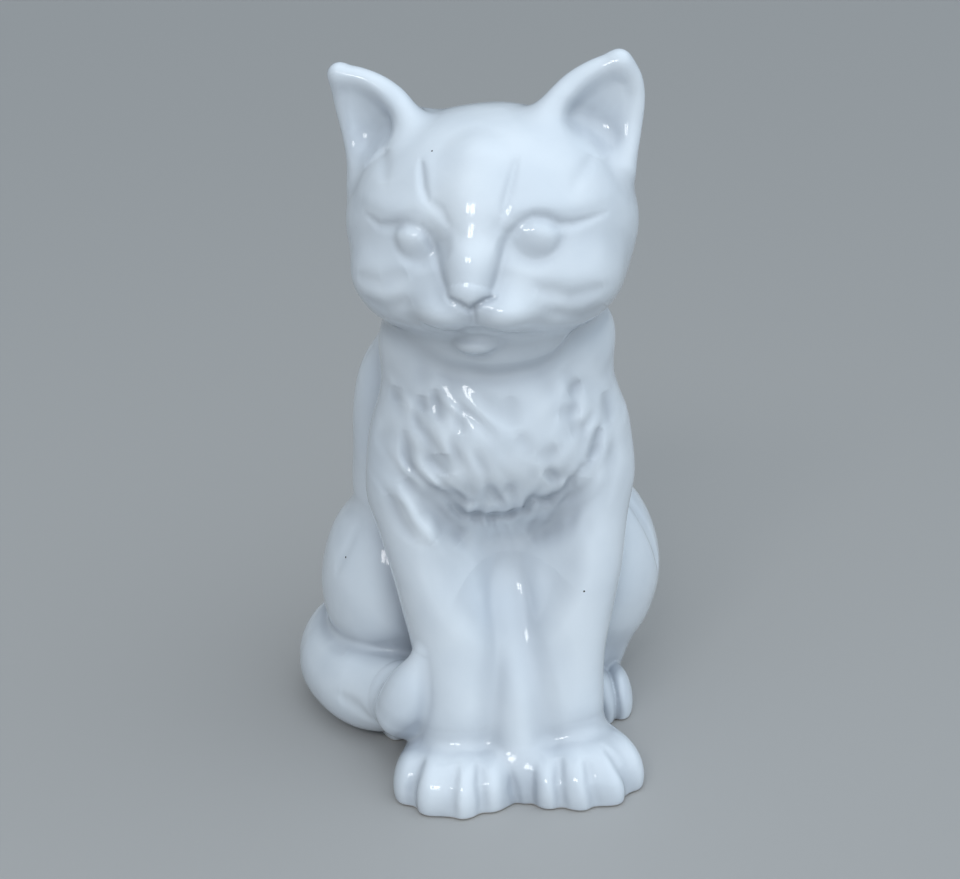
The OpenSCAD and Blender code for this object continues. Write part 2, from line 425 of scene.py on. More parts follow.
def fur(p):
    """Soft locks that run down and inwards, faintest in the middle of the chest."""
    x, along = p[:, 0], p[:, 2]
    across = x - 0.35 * np.tanh((x - 4) / 14) * (along - 112)
    bent = across + 1.6 * np.sin(along / 4.3) + 0.9 * np.sin(along / 2.3 + across / 6.1)
    locks = np.sin(bent / 1.15) * (0.6 + 0.4 * np.sin(along / 3.9 + across / 3.3))
    tufts = np.sin(along / 2.1 + 1.5 * np.sin(across / 3.4)) * np.sin(across / 2.7 + 0.8)
    edge = ((x - 0.5) / 38) ** 2 + ((along - 118) / 30) ** 2
    middle = ((x - 8) / 17) ** 2 + ((along - 126) / 20) ** 2
    strength = np.exp(-(edge ** 2)) * (1 - 0.9 * np.exp(-middle))
    return FUR_DEPTH * strength * (0.65 * locks + 0.5 * tufts)


BACK = [
    # the shoulders, middle, rump, seat and neck, as built_up takes them
    ((-1.5, 18, 116), (44.5, 28, 42), 0),
    ((0, 18, 84), (48, 37, 42), 14),
    ((0, 28, 46), (49, 39, 44), 14),
    ((0, 24, 10), (47, 37, 26), 10),
    ((1, 3, 152), (34, 30, 30), 12),
]
CHEST = [
    # the throat, chest and belly
    ((3, -12, 148), (40, 29, 26), 0),
    ((2.8, -15, 112), (45.2, 29, 40), 12),
    ((1.5, -11.5, 48), (22, 23, 48), 8),
]


def torso(p):
    """The body without its limbs, ruff and head."""
    return join(built_up(p, BACK), built_up(p, CHEST), 8)


def hollowed(p, d):
    """Scoops out the hollow between the forelegs, under the ruff."""
    hollow = [(0.5, -56.5, 96), (0.5, -51, 84), (1.0, -47.5, 75)]
    return cut(d, limb(p, hollow, (20, 17.5, 13)), 15)


def ruffed(p, d):
    """Adds the ruff of chest fur."""
    return join(d, oval(p, (0.5, -19.5, 119), (33.5, 30.5, 28)), 12)


def foreleg(p, side):
    """A foreleg with its paw."""
    if side > 0:
        points = [(27, -20, 98), (23.5, -29, 70), (19.2, -36, 44), (18, -41, 20)]
        radii = (20, 18.2, 15.6, 15)
    else:
        points = [(-24, -20, 98), (-19.5, -29, 70), (-17, -36, 44), (-17, -40, 20)]
        radii = (19.5, 17.5, 15.2, 15)
    return join(tube(p, points, radii), paw(p, side), 5)


PAWS = {
    1: {
        "pad": ((21.5, -49, 4), (19.5, 23.5, 15)), "heading": 2,
        "toes": [((8.6, -60, 4), 7.2), ((18.6, -62.4, 4), 7.4), ((28.6, -61.6, 4), 7.4),
                 ((36.4, -54.5, 4), 6.2)],
    },
    -1: {
        "pad": ((-20, -47, 4), (19.5, 23.5, 15)), "heading": -6,
        "toes": [((-8.6, -58.6, 4), 7.2), ((-18.4, -60.8, 4), 7.4), ((-27.8, -57.4, 4), 7.4),
                 ((-34.6, -49.5, 4), 6.2)],
    },
}


def paw(p, side):
    """A pad with four toes that fan out."""
    form = PAWS[side]
    d = oval(p, *form["pad"])
    for centre, r in form["toes"]:
        fan = form["heading"] + (centre[0] - 1.5) * 0.5
        d = join(d, oval(p, centre, (r, 12, 11), turned(fan)), 4.5)
    return d


def web(p):
    """The strip of clay between the forelegs, which runs out of the chest and down to the paws."""
    line = [(1.5, -12, 78), (1.5, -25.5, 64), (1.6, -35.6, 53), (1.6, -42.4, 43), (1.6, -47.4, 32),
            (1.4, -50.6, 20), (1.0, -55.8, 9), (0.8, -59.6, 2)]
    return tube(p, line, (1.5, 2.8, 4.4, 5.6, 6.8, 7.6, 6.2, 4.8))


HAUNCHES = {
    # by side, the thigh and the part below it that rests on the floor
    1: [((38, 18, 50), (28, 34, 37), 0), ((34, 18, 14), (17, 28, 18), 12)],
    -1: [((-35, 18, 47), (27, 34, 38), 0), ((-36, 16, 14), (22, 30, 22), 10)],
}


def hind_paw(p, side):
    """The foot, ending in two toes."""
    x = 40.5 if side > 0 else -34
    d = limb(p, [(x, 18, 5), (x, 0, 7)], (8, 9))
    d = join(d, oval(p, (x - side * 2.5, -11, 5), (6, 12, 12.5)), 2)
    return join(d, oval(p, (x + side * 4.3, -8.5, 5), (5.8, 12, 12)), 1.2)


def tail(p):
    """The tail along the floor, with its tip turned up."""
    points = [(-6, 56, 16), (-34, 52, 17), (-52, 34, 17), (-55.5, 17, 16.5), (-50.5, 1, 17),
              (-43, -11, 18.5), (-37, -24, 22)]
    d = tube(p, points, (15, 17, 17, 17, 17.2, 16.5, 12.5))
    tip = [(-36, -36, 23), (-34.6, -38.4, 29), (-33, -40.2, 35.5), (-30.8, -41.4, 42.5),
           (-29.3, -42, 48)]
    return join(d, tube(p, tip, (10.4, 9.8, 8.2, 5.0, 2.4)), 2.5)


# Each limb with how softly it is blended on
LIMBS = {
    "left_foreleg": (lambda p: foreleg(p, 1), 9),
    "right_foreleg": (lambda p: foreleg(p, -1), 9),
    "foreleg_web": (web, 8),
    "left_haunch": (lambda p: built_up(p, HAUNCHES[1]), 4),
    "right_haunch": (lambda p: built_up(p, HAUNCHES[-1]), 4),
    "left_hind_paw": (lambda p: hind_paw(p, 1), 1.5),
    "right_hind_paw": (lambda p: hind_paw(p, -1), 1.5),
    "tail": (tail, 3),
}
LIMBS = {name: (nearby(form, name), softness) for name, (form, softness) in LIMBS.items()}
whole_head = nearby(head, "head_casting", "left_ear", "right_ear")
# The head's softness in front, and how much is added behind
HEAD_SOFTNESS = 5
NAPE_SOFTNESS = 12
FOOT_SOFTNESS = 1.2
HOLE_SOFTNESS = 0.8


def pocket(p):
    """The recess in the underside that the base slab closes."""
    centre = (SLAB_LOW + SLAB_HIGH) / 2
    half = (SLAB_HIGH - SLAB_LOW) / 2 + SLAB_GAP
    out = np.sqrt(((p[:, 0] - centre[0]) / half[0]) ** 2 + ((p[:, 1] - centre[1]) / half[1]) ** 2)
    return np.maximum((out - 1) * half[1], p[:, 2] - SLAB_HIGH[2] - SLAB_GAP)


def vent(p):
    """The vent hole that goes on up from the slab's own."""
    out = np.sqrt((p[:, 0] - VENT_AT[0]) ** 2 + (p[:, 1] - VENT_AT[1]) ** 2)
    return np.maximum(out - VENT_RADIUS, p[:, 2] - VENT_TOP)


def chest_marks(p):
    """How deep the fur is cut into the chest at each point."""
    front = np.clip((-16 - p[:, 1]) / 8, 0, 1)
    return carve(front * fur(p), p[:, [0, 2]], front, FUR_STROKES)


def cat(p):
    """The whole figure."""
    p = p.astype(np.float32)
    d = torso(p)
    for name, (form, softness) in LIMBS.items():
        if name == "foreleg_web":
            d = hollowed(p, d)
        d = join(d, form(p), softness)
    d = ruffed(p, d) + chest_marks(p)
    d = carve(d, p, 1, LIMB_STROKES)
    d = carve(d, p, 1, PAW_STROKES)
    behind = np.clip((p[:, 1] - 2) / 22, 0, 1)
    d = join(d, whole_head(p), HEAD_SOFTNESS + NAPE_SOFTNESS * behind)
    d = cut(d + undulation(p), p[:, 2], FOOT_SOFTNESS)
    d = cut(d, pocket(p), HOLE_SOFTNESS)
    return cut(d, vent(p), HOLE_SOFTNESS)


# ------------------------------------------------------------------ who owns which clay
CASTINGS = [*LIMBS, "left_ear", "right_ear", "head_casting", "torso_casting"]
# How far round the slab's recess the clay counts as the torso's
POCKET_SHARE = 2


def owners(p):
    """Each casting's own field at the points. The smallest one owns the clay there."""
    p = p.astype(np.float32)
    q = in_head(p)
    fields = {name: form(p) for name, (form, _) in LIMBS.items()}
    fields["left_ear"] = ear(q, 1)
    fields["right_ear"] = ear(q, -1)
    fields["head_casting"] = face(q, skull(q))
    body = ruffed(p, hollowed(p, torso(p)))
    fields["torso_casting"] = np.minimum(body, pocket(p) - POCKET_SHARE)
    return np.stack([fields[name] for name in CASTINGS], 1)


# ------------------------------------------------------------------ meshing
# The grid is searched in blocks of this many cells a side
BLOCK = 4
BATCHES = 12
# How far round a point its slope is sampled, to move it and to shade it
SLOPE_REACH = 0.15
NORMAL_REACH = 0.25
LONGEST_MOVE = 0.8


def lattice(steps):
    """All the points of a three-way grid with the given steps along each axis."""
    return np.stack(np.meshgrid(*steps, indexing="ij"), -1).reshape(-1, 3)


def sampled(field, low, high, step):
    """The field on a grid, worked out finely only in the blocks near the surface."""
    side = step * BLOCK
    count = np.ceil((high - low) / side).astype(int)
    centres = lattice([low[i] + side * (np.arange(count[i]) + 0.5) for i in range(3)])
    coarse = field(centres).reshape(count)
    grid = np.repeat(np.repeat(np.repeat(coarse, BLOCK, 0), BLOCK, 1), BLOCK, 2)
    near = np.argwhere(np.abs(coarse) < side * 1.5)
    cells = (near[:, None, :] * BLOCK + lattice([np.arange(BLOCK)] * 3)[None]).reshape(-1, 3)
    batches = np.array_split(cells, BATCHES)
    values = np.concatenate([field(low + step * batch) for batch in batches])
    grid[cells[:, 0], cells[:, 1], cells[:, 2]] = values
    return grid


CORNERS = [(i, j, k) for i in (0, 1) for j in (0, 1) for k in (0, 1)]


def crossed_cells(inside):
    """The cells that the surface crosses."""
    size = np.array(inside.shape) - 1
    total = np.zeros(size, np.int8)
    for i, j, k in CORNERS:
        total += inside[i:size[0] + i, j:size[1] + j, k:size[2] + k]
    return (total > 0) & (total < 8)


def cell_points(grid, cells):
    """In each cell, the middle of the places where the surface crosses the cell's edges."""
    place = np.zeros((len(cells), 3))
    hits = np.zeros(len(cells))
    for start in CORNERS:
        for axis in range(3):
            if start[axis] == 1:
                continue
            stop = list(start)
            stop[axis] = 1
            first = grid[tuple((cells + start).T)]
            second = grid[tuple((cells + stop).T)]
            cross = (first < 0) != (second < 0)
            t = np.where(cross, first / np.where(cross, first - second, 1), 0)
            point = np.tile(np.array(start, float), (len(cells), 1))
            point[:, axis] += t
            place += point * cross[:, None]
            hits += cross
    return cells + place / hits[:, None]


def crossing_quads(inside, number):
    """One quad round each grid edge that the surface crosses, facing outwards."""
    quads = []
    for axis in range(3):
        u, v = (axis + 1) % 3, (axis + 2) % 3
        start = [slice(1, -1)] * 3
        start[axis] = slice(0, -1)
        end = [slice(1, -1)] * 3
        end[axis] = slice(1, None)
        flips = inside[tuple(start)] != inside[tuple(end)]
        at = np.argwhere(flips)
        for other in (u, v):
            at[:, other] += 1
        ring = []
        for du, dv in ((-1, -1), (0, -1), (0, 0), (-1, 0)):
            cell = at.copy()
            cell[:, u] += du
            cell[:, v] += dv
            ring.append(number[cell[:, 0], cell[:, 1], cell[:, 2]])
        quad = np.stack(ring, 1)
        leaving = inside[at[:, 0], at[:, 1], at[:, 2]]
        quad[~leaving] = quad[~leaving][:, ::-1]
        quads.append(quad)
    return np.concatenate(quads)


def surface_net(grid, low, step):
    """The surface where the grid's field is zero, as points and quads."""
    inside = grid < 0
    crossed = crossed_cells(inside)
    cells = np.argwhere(crossed)
    number = np.full(crossed.shape, -1, np.int64)
    number[crossed] = np.arange(len(cells))
    return low + step * cell_points(grid, cells), crossing_quads(inside, number)


def slope(field, points, reach):
    """The field's gradient from four samples round each point."""
    total = np.zeros((len(points), 3))
    for corner in ((1, -1, -1), (-1, -1, 1), (-1, 1, -1), (1, 1, 1)):
        corner = np.array(corner, float)
        total += corner * field(points + corner * reach)[:, None]
    return total / (4 * reach)


def settle(field, points, rounds):
    """Moves the points onto the surface."""
    for _ in range(rounds):
        g = slope(field, points, SLOPE_REACH)
        steep = np.sum(g * g, axis=1) + 1e-9
        move = (field(points) / steep)[:, None] * g
        length = np.linalg.norm(move, axis=1)
        points = points - move * np.minimum(1, LONGEST_MOVE / (length + 1e-9))[:, None]
    return points


def relax(points, quads, amount):
    """Evens out the spacing of the vertices."""
    total = np.zeros_like(points)
    count = np.zeros(len(points))
    for i in range(4):
        a = quads[:, i]
        b = quads[:, (i + 1) % 4]
        np.add.at(total, a, points[b])
        np.add.at(total, b, points[a])
        np.add.at(count, a, 1)
        np.add.at(count, b, 1)
    return points + amount * (total / count[:, None] - points)


def triangles(points, quads):
    """Splits each quad along its shorter diagonal."""
    first = np.linalg.norm(points[quads[:, 0]] - points[quads[:, 2]], axis=1)
    second = np.linalg.norm(points[quads[:, 1]] - points[quads[:, 3]], axis=1)
    turn = np.where((first <= second)[:, None], quads, np.roll(quads, -1, axis=1))
    return np.concatenate([turn[:, [0, 1, 2]], turn[:, [0, 2, 3]]])


def unit_normals(points):
    """The directions straight out of the figure at the points."""
    normals = slope(cat, points, NORMAL_REACH)
    return normals / np.linalg.norm(normals, axis=1)[:, None]


# How far out from the surface to look for more clay, and what share each look counts, for the painted
# shade in hollows
SHADE_AND_POOL_REACHES = ((3.0, 0.5), (8.0, 0.4), (15.0, 0.65))
# Below the chin the carved fur grooves also get painted shade, partly thick glaze pooling there too
CHIN_LEVEL = 146
GROOVE_SHADE_AND_POOL = 0.30
MOST_GROOVE_SHADE = 0.9


def hollow_shade_and_pooling(points, normals):
    """How far each point sits in a hollow, from 0 to 1: how much painted shade it gets, partly glaze
    running thick there.
    """
    total = np.zeros(len(points))
    for reach, share in SHADE_AND_POOL_REACHES:
        total += share * np.clip(1 - cat(points + normals * reach) / reach, 0, 1)
    below_chin = points[:, 2] < CHIN_LEVEL
    marks = np.minimum(chest_marks(points.astype(np.float32)), MOST_GROOVE_SHADE)
    return np.clip(total + GROOVE_SHADE_AND_POOL * below_chin * marks, 0, 1)


def build_surface():
    """The figure's whole skin, with what each vertex needs to know."""
    grid = sampled(cat, BOUNDS_LOW, BOUNDS_HIGH, VOXEL)
    points, quads = surface_net(grid, BOUNDS_LOW, VOXEL)
    points = relax(points, quads, 0.5)
    points = settle(cat, points, 2)
    normals = unit_normals(points)
    return {
        "points": points,
        "normals": normals,
        # Painted shade in hollows, partly glaze pooling, as a share for each vertex
        "shade_and_pooling": hollow_shade_and_pooling(points, normals),
        "owners": owners(points),
        "faces": triangles(points, quads),
    }


# ------------------------------------------------------------------ parting into castings
# A patch with fewer faces than this joins the casting that cut it off
CRUMB_FACES = 1000
# A seam crosses an edge no nearer to its end than this share of its length
LEAST_SHARE = 0.12
# The closing faces start this deep behind a seam and lead to a point about this deep
SEAM_LIP = 1.2
SEAM_DEPTH = 12
RING_SPACING = 7
FEWEST_RINGS = 3
MOST_RINGS = 8
# Field values that give a vertex to another casting
FAR_OFF = 100
JUST_OUTSIDE = 0.05


def joined_up(count, links):
    """A number for each vertex, the same all over each connected patch."""
    label = np.arange(count)
    while True:
        low = np.minimum(label[links[:, 0]], label[links[:, 1]])
        new = label.copy()
        np.minimum.at(new, links[:, 0], low)
        np.minimum.at(new, links[:, 1], low)
        new = new[new]
        if np.array_equal(new, label):
            return label
        label = new


def stray(lead, faces):
    """The vertices in a casting's small stray patches, apart from its biggest patch."""
    mine = lead < 0
    links = np.concatenate([faces[:, [0, 1]], faces[:, [1, 2]]])
    links = links[mine[links].all(axis=1)]
    patch = joined_up(len(lead), links)
    counts = np.bincount(patch[mine], minlength=len(lead))
    return mine & (counts[patch] < counts.max())


def stray_faces(surface):
    """The faces in patches too small to be a part of any casting."""
    faces = surface["faces"]
    patch = joined_up(len(surface["points"]), np.concatenate([faces[:, [0, 1]], faces[:, [1, 2]]]))
    home = patch[faces[:, 0]]
    return np.bincount(home, minlength=len(patch))[home] < CRUMB_FACES


def with_seam(surface, lead, edges):
    """The surface's vertices and new ones, where lead is zero on each of the edges."""
    start, stop = edges.T
    t = np.clip(lead[start] / (lead[start] - lead[stop]), LEAST_SHARE, 1 - LEAST_SHARE)
    points, shade_and_pooling = surface["points"], surface["shade_and_pooling"]
    between = points[start] * (1 - t[:, None]) + points[stop] * t[:, None]
    fresh = settle(cat, between, 1)
    return {
        "points": np.concatenate([points, fresh]),
        "normals": np.concatenate([surface["normals"], unit_normals(fresh)]),
        "shade_and_pooling": np.concatenate([shade_and_pooling, shade_and_pooling[start] * (1 - t) + shade_and_pooling[stop] * t]),
        "owners": np.concatenate([surface["owners"], owners(fresh)]),
    }


def parted(surface, lead):
    """Cuts the surface where lead is zero, and returns the part below zero and the rest."""
    faces = surface["faces"]
    inside = lead < 0
    count = inside[faces].sum(axis=1)
    mixed = faces[(count == 1) | (count == 2)]
    lone_inside = inside[mixed].sum(axis=1) == 1
    lone = np.argmax(inside[mixed] == lone_inside[:, None], axis=1)
    a, b, c = np.take_along_axis(mixed, (lone[:, None] + np.arange(3)) % 3, 1).T
    ends = np.sort(np.concatenate([np.stack([a, b], 1), np.stack([a, c], 1)]), axis=1)
    edges, which = np.unique(ends, axis=0, return_inverse=True)
    which = which.reshape(-1) + len(lead)
    ab, ac = which[:len(a)], which[len(a):]
    grown = with_seam(surface, lead, edges)
    tip = np.stack([a, ab, ac], 1)
    stump = np.concatenate([np.stack([ab, b, c], 1), np.stack([ab, c, ac], 1)])
    twice = np.concatenate([lone_inside, lone_inside])
    taken = np.concatenate([faces[count == 3], tip[lone_inside], stump[~twice]])
    left = np.concatenate([faces[count == 0], tip[~lone_inside], stump[twice]])
    return {**grown, "faces": taken}, {**grown, "faces": left}


def compact(surface):
    """Drops the vertices that no face uses."""
    used, faces = np.unique(surface["faces"], return_inverse=True)
    small = {key: surface[key][used] for key in ("points", "normals", "shade_and_pooling")}
    return {**small, "faces": faces.reshape(-1, 3)}


def seam_loops(faces):
    """The closed chains of edges that have a face on one side only."""
    edges = np.concatenate([faces[:, [0, 1]], faces[:, [1, 2]], faces[:, [2, 0]]])
    key = np.sort(edges, axis=1)
    key = key[:, 0] * (faces.max() + 1) + key[:, 1]
    _, first, times = np.unique(key, return_index=True, return_counts=True)
    follows = {int(a): int(b) for a, b in edges[first[times == 1]]}
    loops = []
    while follows:
        start, here = follows.popitem()
        loop = [start]
        while here != start:
            loop.append(here)
            here = follows.pop(here)
        loops.append(loop)
    return loops


def closure(piece, loop, count):
    """Rings of faces from a seam to a point inside the figure, as points, faces and depths.

    The first new vertex gets the number count."""
    edge, out = piece["points"][loop], piece["normals"][loop]
    middle = edge.mean(axis=0) - SEAM_DEPTH * out.mean(axis=0)
    across = np.linalg.norm(edge - middle, axis=1).max()
    rings = int(np.clip(across / RING_SPACING, FEWEST_RINGS, MOST_RINGS))
    lip = edge - SEAM_LIP * out
    points, faces, depths = [], [], []
    outer = np.array(loop)
    for ring in range(rings):
        inner = count + ring * len(loop) + np.arange(len(loop))
        points.append(lip + (middle - lip) * ring / rings)
        depths.append(np.full(len(loop), SEAM_LIP if ring else 0.4 * SEAM_LIP))
        ahead = np.roll(outer, -1)
        faces.append(np.stack([ahead, outer, inner], 1))
        faces.append(np.stack([ahead, inner, np.roll(inner, -1)], 1))
        outer = inner
    points.append(middle[None])
    depths.append(np.array([2 * SEAM_LIP]))
    last = np.full(len(loop), count + rings * len(loop))
    faces.append(np.stack([np.roll(outer, -1), outer, last], 1))
    return np.concatenate(points), np.concatenate(faces), np.concatenate(depths)


def closed(piece):
    """Closes a casting behind its seams."""
    shown = len(piece["points"])
    points, faces, depths = piece["points"], piece["faces"], np.zeros(shown)
    for loop in seam_loops(piece["faces"]):
        more_points, more_faces, more_depths = closure(piece, loop, len(points))
        points = np.concatenate([points, more_points])
        faces = np.concatenate([faces, more_faces])
        depths = np.concatenate([depths, more_depths])
    hidden = len(points) - shown
    up = np.tile((0.0, 0.0, 1.0), (hidden, 1))
    return {
        "points": points,
        "faces": faces,
        "depths": depths,
        "normals": np.concatenate([piece["normals"], up]),
        "shade_and_pooling": np.concatenate([piece["shade_and_pooling"], np.zeros(hidden)]),
    }


def sink_closures(forms):
    """Pushes the closing faces in until each point is at least its depth inside the clay."""
    depths = np.concatenate([form["depths"] for form in forms])
    points = np.concatenate([form["points"] for form in forms])
    hidden = depths > 0
    inner, depth = points[hidden], depths[hidden]
    for _ in range(3):
        g = slope(cat, inner, 2 * SLOPE_REACH)
        lack = np.maximum(cat(inner) + depth, 0)
        inner = inner - (lack / (np.sum(g * g, axis=1) + 0.05))[:, None] * g
    points[hidden] = inner
    starts = np.cumsum([0] + [len(form["points"]) for form in forms])
    for form, start, stop in zip(forms, starts[:-1], starts[1:]):
        form["points"] = points[start:stop]


def castings(surface):
    """Each casting's own closed mesh, by name."""
    found = {}
    own = surface["owners"]
    # The torso's stray patches go to their neighbours, so its own patch stays whole
    loose = stray(own[:, -1] - own[:, :-1].min(axis=1), surface["faces"])
    own[loose, -1] = FAR_OFF
    for number, name in enumerate(CASTINGS[:-1]):
        own = surface["owners"]
        lead = own[:, number] - own[:, number + 1:].min(axis=1)
        lead[stray(lead, surface["faces"])] = JUST_OUTSIDE
        taken, surface = parted(surface, lead)
        crumbs = stray_faces(surface)
        taken["faces"] = np.concatenate([taken["faces"], surface["faces"][crumbs]])
        surface["faces"] = surface["faces"][~crumbs]
        found[name] = closed(compact(taken))
    found[CASTINGS[-1]] = closed(compact(surface))
    sink_closures(list(found.values()))
    return found


def mesh_piece(name, form):
    """A Blender object from a casting's mesh."""
    mesh = bpy.data.meshes.new(name)
    mesh.from_pydata((form["points"] * UNIT).tolist(), [], form["faces"].tolist())
    # Carries the painted shade in hollows, partly glaze pooling, to the glaze material
    shade_and_pooling = mesh.attributes.new("shade_and_pooling", "FLOAT", "POINT")
    shade_and_pooling.data.foreach_set("value", form["shade_and_pooling"].astype(np.float32))
    mesh.shade_smooth()
    mesh.normals_split_custom_set_from_vertices(form["normals"].tolist())
    return linked(name, mesh)


# ------------------------------------------------------------------ materials
# Colours are linear, and noise scales are to the metre
GLAZE_THIN = (0.80, 0.855, 0.915)
# Dark grey of the painted shade in hollows, partly pooled glaze
GLAZE_POOLED_AND_SHADED = (0.43, 0.47, 0.53)
GLAZE_SHADE = (0.73, 0.79, 0.86)
GLAZE_IOR = 1.52
IRON = (0.05, 0.045, 0.045)
SPECKS_PER_METRE = 78
SPECK_ODDS = 0.45
SPECK_RADIUS = 0.030
BISQUE_PALE = (0.66, 0.60, 0.52)
BISQUE_DARK = (0.52, 0.455, 0.38)
BISQUE_GRIT = (0.33, 0.26, 0.20)
FLOOR_COLOUR = (0.44, 0.435, 0.43)
FLOOR_ROUGHNESS = 0.6


def new_material(name):
    """A material with its node tree and its shader."""
    material = bpy.data.materials.new(name)
    material.use_nodes = True
    shader = material.node_tree.nodes["Principled BSDF"]
    return material, material.node_tree, shader


def noise(tree, scale, detail, roughness=0.5):
    """Cloudy noise over the object's own coordinates."""
    coords = tree.nodes.new("ShaderNodeTexCoord")
    node = tree.nodes.new("ShaderNodeTexNoise")
    node.inputs["Scale"].default_value = scale
    node.inputs["Detail"].default_value = detail
    node.inputs["Roughness"].default_value = roughness
    tree.links.new(coords.outputs["Object"], node.inputs["Vector"])
    return node.outputs["Fac"]


def ranged(tree, value, low, high, to_low, to_high):
    """The value, stretched from one range to another and held at its ends."""
    node = tree.nodes.new("ShaderNodeMapRange")
    ends = {"From Min": low, "From Max": high, "To Min": to_low, "To Max": to_high}
    for name, number in ends.items():
        node.inputs[name].default_value = number
    tree.links.new(value, node.inputs["Value"])
    return node.outputs["Result"]


def mixed_colour(tree, amount, first, second):
    """Goes from the first colour to the second; each is a colour or another node's output."""
    node = tree.nodes.new("ShaderNodeMix")
    node.data_type = "RGBA"
    tree.links.new(amount, node.inputs[0])
    for slot, colour in ((6, first), (7, second)):
        if isinstance(colour, tuple):
            node.inputs[slot].default_value = (*colour, 1)
        else:
            tree.links.new(colour, node.inputs[slot])
    return node.outputs[2]


def calculated(tree, operation, first, second):
    """One operation on two values; each is a number or another node's output."""
    node = tree.nodes.new("ShaderNodeMath")
    node.operation = operation
    for slot, value in enumerate((first, second)):
        if isinstance(value, (int, float)):
            node.inputs[slot].default_value = value
        else:
            tree.links.new(value, node.inputs[slot])
    return node.outputs[0]


def bumped(tree, shader, layers):
    """Adds fine relief: each layer is a height from 0 to 1, and its depth in metres."""
    normal = None
    for height, depth in layers:
        bump = tree.nodes.new("ShaderNodeBump")
        bump.inputs["Strength"].default_value = 1
        bump.inputs["Distance"].default_value = depth
        tree.links.new(height, bump.inputs["Height"])
        if normal is not None:
            tree.links.new(normal, bump.inputs["Normal"])
        normal = bump.outputs["Normal"]
    tree.links.new(normal, shader.inputs["Normal"])


def pinholes(tree):
    """Sparse dark specks of iron in the glaze: 1 on a speck and 0 off it."""
    coords = tree.nodes.new("ShaderNodeTexCoord")
    cells = tree.nodes.new("ShaderNodeTexVoronoi")
    cells.inputs["Scale"].default_value = SPECKS_PER_METRE
    tree.links.new(coords.outputs["Object"], cells.inputs["Vector"])
    parts = tree.nodes.new("ShaderNodeSeparateColor")
    tree.links.new(cells.outputs["Color"], parts.inputs["Color"])
    chosen = calculated(tree, "GREATER_THAN", parts.outputs["Red"], SPECK_ODDS)
    spot = calculated(tree, "LESS_THAN", cells.outputs["Distance"], SPECK_RADIUS)
    return calculated(tree, "MULTIPLY", chosen, spot)


def under_foot(tree):
    """1 on the unglazed underside and 0 on the rest."""
    place = tree.nodes.new("ShaderNodeTexCoord")
    axes = tree.nodes.new("ShaderNodeSeparateXYZ")
    tree.links.new(place.outputs["Object"], axes.inputs["Vector"])
    waver = calculated(tree, "MULTIPLY", noise(tree, 160, 2), 0.0008)
    edge = calculated(tree, "ADD", axes.outputs["Z"], waver)
    return ranged(tree, edge, 0.0006, 0.0014, 1, 0)


def glaze_material():
    """Cool white glaze with painted shade: greyer in hollows and fur grooves, partly where the glaze
    pools, with a bare clay edge at the foot.
    """
    material, tree, shader = new_material("white_glaze")
    shade_and_pooling = tree.nodes.new("ShaderNodeAttribute")
    shade_and_pooling.attribute_name = "shade_and_pooling"
    clouds = ranged(tree, noise(tree, 34, 3), 0.38, 0.68, 0, 1)
    body = mixed_colour(tree, clouds, GLAZE_THIN, GLAZE_SHADE)
    # Painted shade: hollows go towards the dark grey, partly glaze pooling there
    shade_and_pool_amount = ranged(tree, shade_and_pooling.outputs["Fac"], 0.03, 0.75, 0, 0.85)
    body = mixed_colour(tree, shade_and_pool_amount, body, GLAZE_POOLED_AND_SHADED)
    body = mixed_colour(tree, pinholes(tree), body, IRON)
    clay = mixed_colour(tree, noise(tree, 420, 4), BISQUE_DARK, BISQUE_PALE)
    foot = under_foot(tree)
    tree.links.new(mixed_colour(tree, foot, body, clay), shader.inputs["Base Color"])
    gloss = ranged(tree, noise(tree, 55, 2), 0.3, 0.7, 0.05, 0.11)
    rough = calculated(tree, "MAXIMUM", gloss, calculated(tree, "MULTIPLY", foot, 0.8))
    tree.links.new(rough, shader.inputs["Roughness"])
    shader.inputs["IOR"].default_value = GLAZE_IOR
    bumped(tree, shader, ((noise(tree, 120, 1), 0.00014), (noise(tree, 420, 2), 0.00003)))
    return material


def bisque_material():
    """Bare fired clay: warm, dull and finely gritty, with a few darker grains."""
    material, tree, shader = new_material("bisque_clay")
    grain = noise(tree, 900, 5, 0.7)
    clouds = ranged(tree, noise(tree, 60, 3), 0.35, 0.65, 0, 1)
    body = mixed_colour(tree, clouds, BISQUE_PALE, BISQUE_DARK)
    grit = ranged(tree, grain, 0.60, 0.72, 0, 0.6)
    tree.links.new(mixed_colour(tree, grit, body, BISQUE_GRIT), shader.inputs["Base Color"])
    tree.links.new(ranged(tree, grain, 0.3, 0.7, 0.72, 0.9), shader.inputs["Roughness"])
    bumped(tree, shader, ((noise(tree, 240, 3), 0.0002), (grain, 0.00012)))
    return material


# ------------------------------------------------------------------ stage
# The camera's place in figure units, its angles in degrees and its lens in millimetres
CAMERA_AT = (-57.6, -482.2, 284.7)
CAMERA_HEADING = 6.5
CAMERA_DOWN = 20.06
CAMERA_TILT = -1.8
LENS = 54.75
SENSOR = 36
FLOOR_HALF = 40.0
# Two window panes side by side, in metres and watts
WINDOW_AT = np.array((-0.50, -1.12, 1.03))
WINDOW_AIM = np.array((0, 0, 0.17))
PANE_SIZE = (0.24, 0.30)
PANE_OFFSET = 0.14
PANE_WATTS = 2.0
SKY_TOWARD = (0.24, -0.46, 0.855)
SKY_LEVELS = ((0.001, 0.09), (0.3, 0.11), (0.5, 0.25), (0.7, 0.66), (0.87, 1.0), (0.999, 1.0))
SKY_TINT = (0.82, 0.92, 1)
SKY_STRENGTH = 1.5


def linked(name, data):
    """A new object in the scene."""
    thing = bpy.data.objects.new(name, data)
    bpy.context.scene.collection.objects.link(thing)
    return thing


